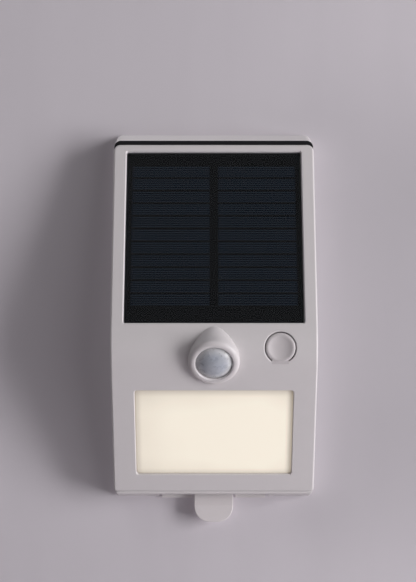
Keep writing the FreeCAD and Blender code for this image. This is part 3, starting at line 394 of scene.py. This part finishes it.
def spinOutline(mesh, outline, steps):  # turns radii and levels into a round form
    chain = [mesh.verts.new((radius, 0, level)) for radius, level in outline]
    edges = [mesh.edges.new(pair) for pair in zip(chain, chain[1:])]
    bmesh.ops.spin(mesh, geom=chain + edges, cent=(0, 0, 0), axis=(0, 0, 1),
                   angle=math.tau, steps=steps, use_merge=True)
    bmesh.ops.remove_doubles(mesh, verts=mesh.verts, dist=mergeGap)


# The lit window: a frosted pane that stands in its frame, on a flange behind the shell

window = {
    "width": 80.0 * mm, "height": 48.2 * mm, "border": 9.9 * mm, "corner": 1.4 * mm,
    "gap": 0.15 * mm, "recess": 1.2 * mm, "flange": 2.2 * mm, "back": 4.1 * mm,
    "flangeFront": 2.5 * mm, "edgeRound": 0.5 * mm, "flatArea": 20 * mm ** 2,
    "glow": 0.59, "dimGlow": (0.12, 0.08, 0.04, 1), "fullGlow": (1.0, 0.905, 0.75, 1),
    # the frost's shaded and lit tones: painted shade near the frame
    "shadedFrost": (0.4, 0.37, 0.34, 1), "litFrost": (0.45, 0.43, 0.38, 1),
    # painted light: glow and frost brighter towards the right, set against the frame's shade there
    "paintedLightToRight": (0.975, 1.13), "haze": (0.975, 1.0),
    "edgeFadeAndShade": (  # which edge, how far it reaches inwards and what share is lit at the edge: the glow fades there, and the frame's shade is painted in
        ("side", 4.0 * mm, 0.5), ("side", 20.0 * mm, 0.88), ("top", 4.5 * mm, 0.5),
        ("top", 15.0 * mm, 0.82), ("foot", 3.5 * mm, 0.68), ("foot", 12.0 * mm, 0.88),
    ),
}
windowAway = window["border"] + window["height"] / 2
windowFrame = faceFrame(
    0, case["foot"] + windowAway * math.cos(lowerTilt),
    case["edgeLevel"] + windowAway * math.sin(lowerTilt), lowerTilt)


def frostedGlow():  # lit from behind, dimmer towards each edge of the frame, where the glow fades and the frame's shade is painted into glow and frost alike; painted light makes it brighter towards the right
    material, tree, shader, place = newMaterial("frostedGlow", {
        "Roughness": 0.5, "Emission Strength": window["glow"], "Coat Weight": 0.1,
        "Coat Roughness": 0.35,
    })
    local = inFrame(tree, place, windowFrame)
    across, up = addNode(tree, "ShaderNodeSeparateXYZ", {0: local}).outputs[:2]
    halfWidth, halfHeight = window["width"] / 2, window["height"] / 2
    inwards = {
        "side": mathNode(tree, "SUBTRACT", halfWidth, mathNode(tree, "ABSOLUTE", across)),
        "top": mathNode(tree, "SUBTRACT", halfHeight, up),
        "foot": mathNode(tree, "ADD", halfHeight, up),
    }
    # painted light rising towards the right, then the glow fading and painted shade towards each edge
    lit = mapRange(tree, across, -halfWidth, halfWidth, *window["paintedLightToRight"])
    for edge, reach, share in window["edgeFadeAndShade"]:
        lit = mathNode(tree, "MULTIPLY", lit, mapRange(tree, inwards[edge], 0.0, reach, share, 1.0))
    haze = mapRange(tree, noiseOf(tree, local, 46.0, 1.0), 0.3, 0.7, *window["haze"])
    lit = mathNode(tree, "MULTIPLY", lit, haze)
    feed(tree, shader, {
        "Emission Color": mixColours(tree, lit, window["dimGlow"], window["fullGlow"]),
        "Base Color": mixColours(tree, lit, window["shadedFrost"], window["litFrost"]),
        "Normal": bumpFrom(tree, noiseOf(tree, place, 3000.0), 0.4, 0.03 * mm),
    })
    return material


materials["frostedGlow"] = frostedGlow()


def makeWindowPane():
    mesh = bmesh.new()
    width = window["width"] + 2 * window["flange"]
    height = window["height"] + 2 * window["flange"]
    back = roundedSheet(mesh, width, height, window["corner"] + window["flange"], -window["back"])
    raiseFace(mesh, back, window["back"] - window["flangeFront"])
    landWidth = window["width"] - 2 * window["gap"]
    landHeight = window["height"] - 2 * window["gap"]
    landFoot = window["flangeFront"] + window["gap"]
    foot = roundedSheet(mesh, landWidth, landHeight, window["corner"], -landFoot)
    front = raiseFace(mesh, foot, landFoot - window["recess"])
    bevelEdges(mesh, front.edges, window["edgeRound"], 4)
    finishPiece("windowPane", mesh, "lamp", "frostedGlow",
                ("led_diffuser",), windowFrame, flatArea=window["flatArea"])


# The solar panel: dark strips with fine contact lines, under a clear cover

panel = {
    "border": 3.6 * mm, "width": 90.5 * mm, "foot": 13.35 * mm, "recess": 1.8 * mm,
    "cover": 0.5 * mm, "cell": 0.25 * mm, "sideGap": 0.45 * mm, "endGap": 0.35 * mm,
    "corner": 0.6 * mm, "coverEdge": 0.12 * mm, "rows": 11, "columns": 2,
    "columnGap": 4.07 * mm, "sideMargin": 2.55 * mm, "topMargin": 7.2 * mm, "footMargin": 8.25 * mm,
    "rowGap": 0.9 * mm, "fingers": 5, "fingerWidth": 0.26 * mm, "lineRise": 0.03 * mm,
    "barWidth": 0.5 * mm, "flatArea": 100 * mm ** 2,
    "silicon": (0.0013, 0.0048, 0.0105, 1), "paleSilicon": (0.0024, 0.0072, 0.015, 1),
    "silver": (0.015, 0.028, 0.045, 1), "paleSilver": (0.024, 0.041, 0.063, 1),
    "dustTone": (0.35, 0.34, 0.33, 1), "dust": 0.05, "speckScale": 500.0,
    "shine": (0.9, 0.95, 1.0, 1), "shineIor": 1.19,
}
upperLength = (case["top"] - case["kneeHeight"]) / math.cos(upperTilt)
panel["height"] = upperLength - panel["border"] - panel["foot"]
panelAway = panel["border"] + panel["height"] / 2
panelFrame = faceFrame(
    0, case["top"] - panelAway * math.cos(upperTilt),
    case["edgeLevel"] + panelAway * math.sin(upperTilt), -upperTilt)


def siliconMaterial():  # near-black blue, a little uneven from strip to strip
    material, tree, shader, place = newMaterial("siliconBlue", {"Specular IOR Level": 0.1})
    drift = noiseOf(tree, stretched(tree, place, (12.0, 12.0, 145.0)), 1.0, 1.0)
    strip = mapRange(tree, drift, 0.35, 0.65)
    crystal = mapRange(tree, noiseOf(tree, place, 1400.0), 0.3, 0.7)
    share = weighted(tree, strip, 0.6, crystal, 0.25)
    feed(tree, shader, {
        "Base Color": mixColours(tree, share, panel["silicon"], panel["paleSilicon"]),
        "Roughness": mapRange(tree, crystal, 0.0, 1.0, 0.3, 0.4),
        "Normal": bumpFrom(tree, crystal, 0.1, 0.01 * mm),
    })
    return material


def contactMaterial():  # thin printed silver, dulled by the cover
    material, tree, shader, place = newMaterial("contactSilver", {"Specular IOR Level": 0.15})
    grains = noiseOf(tree, place, 4000.0, 1.0)
    feed(tree, shader, {
        "Base Color": mixColours(tree, grains, panel["silver"], panel["paleSilver"]),
        "Roughness": mapRange(tree, grains, 0.2, 0.8, 0.4, 0.6),
    })
    return material


def clearCoverMaterial():  # a glossy clear face with a little dust
    material, tree, shader, place = newMaterial("clearCover", {
        "Base Color": panel["dustTone"], "Roughness": 0.7, "Specular IOR Level": 0.2,
    })
    dust = useGroup(tree, "dust", place, {"Amount": panel["dust"], "Speck Scale": panel["speckScale"]})
    feed(tree, shader, {"Alpha": dust["Mask"]})
    smear = mapRange(tree, noiseOf(tree, place, 40.0, 3.0), 0.35, 0.75, 0.04, 0.1)
    gloss = addNode(tree, "ShaderNodeBsdfGlossy", {"Color": panel["shine"], "Roughness": smear})
    shine = addNode(tree, "ShaderNodeFresnel", {"IOR": panel["shineIor"]}).outputs[0]
    mixShaders(tree, shine, shader, gloss)
    return material


materials["siliconBlue"] = siliconMaterial()
materials["contactSilver"] = contactMaterial()
materials["clearCover"] = clearCoverMaterial()


def panelGrid():
    width = panel["width"] - 2 * panel["sideGap"]
    height = panel["height"] - 2 * panel["endGap"]
    columns, rows = panel["columns"], panel["rows"]
    cellWidth = (width - 2 * panel["sideMargin"] - panel["columnGap"] * (columns - 1)) / columns
    pitch = (height - panel["topMargin"] - panel["footMargin"]) / rows
    places = []
    for column in range(columns):
        x = (column - (columns - 1) / 2) * (cellWidth + panel["columnGap"])
        for row in range(rows):
            top = height / 2 - panel["topMargin"] - row * pitch
            places.append((x - cellWidth / 2, x + cellWidth / 2, top - pitch + panel["rowGap"], top))
    return width, height, places


def makePanel():
    width, height, places = panelGrid()
    cellTop = -panel["recess"] - panel["cover"]
    cells, lines = bmesh.new(), bmesh.new()
    for left, right, low, high in places:
        slab(cells, left, right, low, high, cellTop - panel["cell"], cellTop - panel["lineRise"],
             panel["lineRise"])
        step = (high - low) / panel["fingers"]
        for index in range(panel["fingers"]):
            middle = low + step * (index + 0.5)
            slab(lines, left + panel["barWidth"], right - panel["barWidth"],
                 middle - panel["fingerWidth"] / 2, middle + panel["fingerWidth"] / 2,
                 cellTop - 2 * panel["lineRise"], cellTop - panel["lineRise"] / 2)
    finishPiece("solarStrips", cells, "lamp", "siliconBlue",
                ("solar_cells",), panelFrame, smoothAngle=10.0)
    finishPiece("contactLines", lines, "lamp", "contactSilver", (), panelFrame)
    cover = bmesh.new()
    bottom = roundedSheet(cover, width, height, panel["corner"], cellTop, 4)
    top = raiseFace(cover, bottom, panel["cover"])
    bevelEdges(cover, top.edges, panel["coverEdge"], 2)
    finishPiece("panelCover", cover, "lamp", "clearCover",
                ("panel_cover",), panelFrame, flatArea=panel["flatArea"])


# The motion sensor's lens: a hollow dome of small facets

lens = {
    "height": -22.95 * mm, "level": 48.3 * mm, "tilt": 30.0, "radius": 9.1 * mm,
    "sphere": 13.6 * mm, "domeBase": 1.3 * mm, "wall": 0.9 * mm, "flangeRadius": 10.2 * mm,
    "flangeTop": 4.5 * mm, "flangeFoot": 5.5 * mm, "turns": 60, "groove": 0.09 * mm,
    "facetRise": 0.05 * mm, "ringShares": (0.34, 0.67, 1.0),
    "hollowAngles": (39.0, 29.0, 19.0, 10.0, 0.0),
    # each ring of facets: the angle at which it ends, and how many it has
    "rings": ((9.5, 1), (19.5, 6), (29.5, 10), (39.5, 15)),
    # painted light: the dome paler from this radius out to its rim, as if lit through its thin skirt
    "rimLightInside": 5.0 * mm, "rimLightOutside": 9.0 * mm, "paintedRimLight": (0.82, 0.83, 0.86, 1),
    "milk": (0.45, 0.485, 0.565, 1), "paleMilk": (0.56, 0.595, 0.67, 1),
}
hoodFrame = faceFrame(0, lens["height"], lens["level"], math.radians(lens["tilt"]))


def lensMaterial():  # milky plastic, bluish, clouded in places, with painted light making it paler towards its rim
    material, tree, shader, place = newMaterial("milkyLens", {
        "Transmission Weight": 0.12, "IOR": 1.45, "Coat Weight": 0.15, "Coat Roughness": 0.25,
        "Subsurface Weight": 0.8, "Subsurface Scale": 6.0 * mm, "Subsurface Radius": (1.0, 1.0, 1.0),
    })
    cloud = mapRange(tree, noiseOf(tree, place, 240.0, 3.0), 0.35, 0.7)
    local = inFrame(tree, place, hoodFrame)
    flat = addNode(tree, "ShaderNodeVectorMath", {0: local, 1: (1, 1, 0)}, operation="MULTIPLY")
    outwards = addNode(tree, "ShaderNodeVectorMath", {0: flat.outputs["Vector"]}, operation="LENGTH")
    # painted light, growing towards the rim
    paintedRimLight = mapRange(tree, outwards.outputs["Value"], lens["rimLightInside"], lens["rimLightOutside"])
    milk = mixColours(tree, cloud, lens["milk"], lens["paleMilk"])
    feed(tree, shader, {
        "Base Color": mixColours(tree, paintedRimLight, milk, lens["paintedRimLight"]),
        "Roughness": mapRange(tree, cloud, 0.0, 1.0, 0.26, 0.4),
        "Normal": bumpFrom(tree, noiseOf(tree, place, 1600.0, 1.0), 0.12, 0.03 * mm),
    })
    return material


materials["milkyLens"] = lensMaterial()


def arcSpots(radius, centre, angles):  # radius and level on a sphere, by the angle from its top
    return [(radius * math.sin(math.radians(angle)), centre + radius * math.cos(math.radians(angle)))
            for angle in angles]


def lensOutline(centre):  # the dome's spots from the top, its flange, and the hollow back to the top
    rim = math.degrees(math.asin(lens["radius"] / lens["sphere"]))
    angles, start = [0.0], 0.0
    for end in [ringEnd for ringEnd, count in lens["rings"]] + [rim]:
        angles += [start + (end - start) * share for share in lens["ringShares"]]
        start = end
    inner = lens["radius"] - lens["wall"]
    flange = [(lens["radius"], -lens["flangeTop"]), (lens["flangeRadius"], -lens["flangeTop"]),
              (lens["flangeRadius"], -lens["flangeFoot"]), (inner, -lens["flangeFoot"]),
              (inner, -lens["domeBase"])]
    hollow = arcSpots(lens["sphere"] - lens["wall"], centre, lens["hollowAngles"])
    return arcSpots(lens["sphere"], centre, angles) + flange + hollow


def raiseFacets(mesh, centre):  # each facet stands a little proud of the grooves round it
    facets = {}
    for face in mesh.faces:
        middle = face.calc_center_median() - Vector((0, 0, centre))
        if middle.length < lens["sphere"] - lens["wall"] / 2 or middle.z <= 0:
            continue
        away = math.degrees(middle.angle(Vector((0, 0, 1))))
        turn = math.degrees(math.atan2(middle.y, middle.x)) % 360
        begin = 0.0
        for ring, (end, count) in enumerate(lens["rings"]):
            if begin < away < end:
                facets.setdefault((ring, int(turn / 360 * count)), []).append(face)
            begin = end
    for faces in facets.values():
        bmesh.ops.inset_region(mesh, faces=faces, thickness=lens["groove"], depth=lens["facetRise"],
                               use_even_offset=True)


def makeSensorLens():
    mesh = bmesh.new()
    centre = -lens["domeBase"] - math.sqrt(lens["sphere"] ** 2 - lens["radius"] ** 2)
    spinOutline(mesh, lensOutline(centre), lens["turns"])
    bmesh.ops.recalc_face_normals(mesh, faces=mesh.faces)
    raiseFacets(mesh, centre)
    finishPiece("sensorLens", mesh, "lamp", "milkyLens",
                ("sensor_lens",), hoodFrame, smoothAngle=18.0)


# The push button: a dished pad with a raised rim on a narrow neck, following the rounded knee

button = {
    "x": 33.0 * mm, "height": -15.0 * mm, "neckWidth": 8.4 * mm, "neckRoot": 6.0 * mm,
    "neckFoot": 8.2 * mm, "neckThickness": 1.2 * mm, "neckSink": 0.02 * mm, "turns": 64,
    "stemRadius": 2.0 * mm, "stemFoot": 5.3 * mm, "stemOverlap": 0.4 * mm, "pocket": 2.0 * mm,
    "outline": (  # radius and level in mm: the dish, the rim round it and the pad's side
        (0.0, -0.86), (1.5, -0.84), (3.0, -0.72), (4.4, -0.46), (5.3, -0.2), (5.8, -0.02),
        (6.25, 0.08), (6.7, 0.07), (7.1, -0.02), (7.36, -0.2), (7.5, -0.5), (7.5, -2.0),
    ),
}
halfTurn = (upperTilt + lowerTilt) / 2
buttonLevel = case["kneeLevel"] - case["kneeRadius"] * (1 / math.cos(halfTurn) - 1)
buttonFrame = faceFrame(button["x"], button["height"], 0, 0)
turnedBack = (upperTilt - lowerTilt) / 2  # the knee's middle line leans with its two faces
kneeCentre = (case["kneeHeight"] - math.sin(turnedBack) * case["kneeRadius"] / math.cos(halfTurn),
              case["kneeLevel"] - math.cos(turnedBack) * case["kneeRadius"] / math.cos(halfTurn))


def kneeSurface(height):  # the level of the rounded knee at a height up the wall
    away = height - kneeCentre[0]
    return kneeCentre[1] + math.sqrt(case["kneeRadius"] ** 2 - away ** 2)


def makeModeButton():
    mesh = bmesh.new()
    outline = [(radius * mm, level * mm) for radius, level in button["outline"]]
    spinOutline(mesh, outline + [(0, -button["pocket"])], button["turns"])
    half = button["neckWidth"] / 2
    slab(mesh, -half, half, -button["neckFoot"], -button["neckRoot"],
         -button["neckThickness"], -button["neckSink"])
    for vert in mesh.verts:
        vert.co.z += kneeSurface(button["height"] + vert.co.y)
    stemLength = button["stemFoot"] - button["pocket"] + button["stemOverlap"]
    stem = bmesh.ops.create_cone(mesh, cap_ends=True, segments=32, radius1=button["stemRadius"],
                                 radius2=button["stemRadius"], depth=stemLength)["verts"]
    lowest = min(vert.co.z for vert in stem)
    bmesh.ops.translate(mesh, verts=stem, vec=(0, 0, buttonLevel - button["stemFoot"] - lowest))
    finishPiece("modeButton", mesh, "button", "buttonWhite",
                ("mode_button",), buttonFrame, smoothAngle=40.0)


# Bracket and tongue: the frame's own forms with their edges eased

easedForms = {
    "bracketPlate": {"node": "wall_bracket", "body": "bracket", "ease": 0.3 * mm},
    "releaseTongue": {"node": "release_tongue", "body": "tongue", "ease": 0.35 * mm},
}


def easedCopy(name, node, body, ease):
    mesh = bmesh.new()
    mesh.from_mesh(nodes[node].data)
    bmesh.ops.remove_doubles(mesh, verts=mesh.verts, dist=mergeGap)
    bmesh.ops.dissolve_limit(mesh, angle_limit=math.radians(1.0), verts=mesh.verts, edges=mesh.edges)
    # eased copies take the bracket's lighter white, painted light against the case's shadow
    piece = finishPiece(name, mesh, body, "litBracketWhite", (node,), smoothAngle=35.0)
    bevel = piece.modifiers.new("easedEdges", "BEVEL")
    bevel.width = ease
    bevel.segments = 3
    bevel.limit_method = "ANGLE"
    bevel.angle_limit = math.radians(40)
    bevel.harden_normals = True


makeWindowPane()
makePanel()
makeSensorLens()
makeModeButton()
for name, form in easedForms.items():
    easedCopy(name, **form)
print("new pieces made")


# Finishes of the frame's own nodes

nodeMaterials = {
    "caseWhite": ["front_shell", "back_shell", "lens_retainer", "battery_strap"],
    "sealBlack": ["shell_gasket", "panel_seal_tape", "diffuser_seal", "lens_seal_ring"],
    "panelBlack": ["panel_backing"],
    "reflectorWhite": ["led_reflector"],
    "ledPhosphor": ["leds"],
    "boardWhite": ["led_board"],
    "boardGreen": ["main_board"],
    "switchBlack": ["board_parts", "tact_switch", "switch_plunger"],
    "nylonCream": ["wire_connectors"],
    "sleeveBlue": ["battery_cell"],
    "foamBlack": ["battery_pad"],
    "bootRubber": ["button_membrane"],
    "nickelStrip": ["battery_tabs"],
    "sensorCan": ["pyro_sensor"],
    "leadRed": ["panel_leads", "battery_leads", "led_leads"],
    "zincSteel": ["case_screws", "led_board_screws", "board_screws", "strap_screws"],
}
for materialName, nodeNames in nodeMaterials.items():
    for nodeName in nodeNames:
        data = nodes[nodeName].data
        data.materials.clear()
        data.materials.append(materials[materialName])
print("frame nodes finished")


# The wall behind, the floor below, the light and the camera

stage = {
    "wallWidth": 3.2, "wallHeight": 3.2, "wallGap": 0.2 * mm, "floorDrop": 0.9, "floorDepth": 2.4,
    # the last tone here and the four limits below paint shade onto the wall right of the case
    "paint": (0.615, 0.58, 0.615, 1), "shade": (0.6, 0.565, 0.6, 1), "paintedShadeTone": (0.48, 0.455, 0.483, 1),
    "paintedShadeLeft": 0.01, "paintedShadeRight": 0.075, "paintedShadeReach": 0.16, "paintedShadeCore": 0.05,
}


def wallPaintAndShade():  # creased paint with painted shade right of the case, seen from its front
    material, tree, shader, place = newMaterial("wallPaintAndShade", {"Roughness": 0.85, "Specular IOR Level": 0.2})
    parts = addNode(tree, "ShaderNodeSeparateXYZ", {0: place}).outputs
    # painted shade: a duller patch right of the case, fading across the wall and up it
    across = mapRange(tree, parts[0], stage["paintedShadeLeft"], stage["paintedShadeRight"])
    along = mapRange(tree, mathNode(tree, "ABSOLUTE", parts[2]), stage["paintedShadeReach"], stage["paintedShadeCore"])
    paintedShade = mathNode(tree, "MULTIPLY", across, along)
    fold = noiseOf(tree, stretched(tree, place, (9.0, 9.0, 2.2)), 1.6, 3.0)
    paint = mixColours(tree, mapRange(tree, fold, 0.3, 0.7), stage["paint"], stage["shade"])
    feed(tree, shader, {
        "Base Color": mixColours(tree, paintedShade, paint, stage["paintedShadeTone"]),
        "Normal": bumpFrom(tree, fold, 0.25, 4.0 * mm),
    })
    behind = addNode(tree, "ShaderNodeNewGeometry").outputs["Backfacing"]
    shadow = addNode(tree, "ShaderNodeLightPath").outputs["Is Shadow Ray"]
    clear = addNode(tree, "ShaderNodeBsdfTransparent")
    mixShaders(tree, mathNode(tree, "MAXIMUM", behind, shadow), shader, clear)
    return material


def stagePlane(name, width, depth, place, material):
    mesh = bmesh.new()
    flatSheet(mesh, width, depth)
    bmesh.ops.transform(mesh, matrix=place, verts=mesh.verts)
    data = bpy.data.meshes.new(name)
    mesh.to_mesh(data)
    mesh.free()
    data.materials.append(material)
    plane = bpy.data.objects.new(name, data)
    bpy.context.scene.collection.objects.link(plane)


materials["wallPaintAndShade"] = wallPaintAndShade()
stagePlane("wall", stage["wallWidth"], stage["wallHeight"],
           Matrix.Translation((0, stage["wallGap"], 0)) @ standUp, materials["wallPaintAndShade"])
stagePlane("floor", stage["wallWidth"], stage["floorDepth"],
           Matrix.Translation((0, 0, -stage["floorDrop"])), materials["wallPaintAndShade"])


lamps = {  # places and sizes in metres, power in watts
    "key": {"spot": (1.44, -0.81, 0.03), "size": (0.6, 1.1), "power": 27.4},
    "side": {"spot": (0.9, -1.36, 0.15), "size": (0.8, 0.8), "power": 3.0},
    "top": {"spot": (-0.7, -0.75, 1.35), "size": (1.2, 0.8), "power": 4.3},
    "behind": {"spot": (-0.5, 1.6, 0.9), "size": (1.6, 1.6), "power": 26.0, "colour": (1.0, 0.99, 1.0)},
}


def areaLamp(name, spot, size, power, colour=(1.0, 0.985, 1.0)):  # aimed at the frame's origin
    data = bpy.data.lights.new(name, "AREA")
    data.shape = "RECTANGLE"
    data.size, data.size_y = size
    data.energy = power
    data.color = colour
    lamp = bpy.data.objects.new(name, data)
    bpy.context.scene.collection.objects.link(lamp)
    lamp.location = spot
    lamp.rotation_euler = (-Vector(spot)).to_track_quat("-Z", "Y").to_euler()


for name, lamp in lamps.items():
    areaLamp(name, **lamp)


room = {"light": 0.036, "seen": 0.42, "colour": (0.95, 0.92, 0.96, 1)}


def makeWorld():  # a pale background to the eye, and far less of it as light
    world = bpy.data.worlds.new("softRoom")
    bpy.context.scene.world = world
    world.use_nodes = True
    tree = world.node_tree
    path = addNode(tree, "ShaderNodeLightPath").outputs
    seen = mathNode(tree, "MAXIMUM", path["Is Camera Ray"], path["Is Transmission Ray"])
    seen = mathNode(tree, "MAXIMUM", seen, path["Is Glossy Ray"])
    strength = mapRange(tree, seen, 0.0, 1.0, room["light"], room["seen"], smooth=False)
    feed(tree, tree.nodes["Background"], {"Color": room["colour"], "Strength": strength})


makeWorld()

view = {"place": (-0.003, -0.616, 0.0132), "lens": 71.13, "sensor": 36.0, "clipStart": 0.01}
cameraData = bpy.data.cameras.new("camera")
cameraData.sensor_width = view["sensor"]
cameraData.lens = view["lens"]
cameraData.clip_start = view["clipStart"]
camera = bpy.data.objects.new("camera", cameraData)
bpy.context.scene.collection.objects.link(camera)
camera.location = view["place"]
camera.rotation_euler = (math.radians(90), 0, 0)
bpy.context.scene.camera = camera
bpy.context.scene.view_settings.view_transform = "Standard"
print("stage, light and camera set")
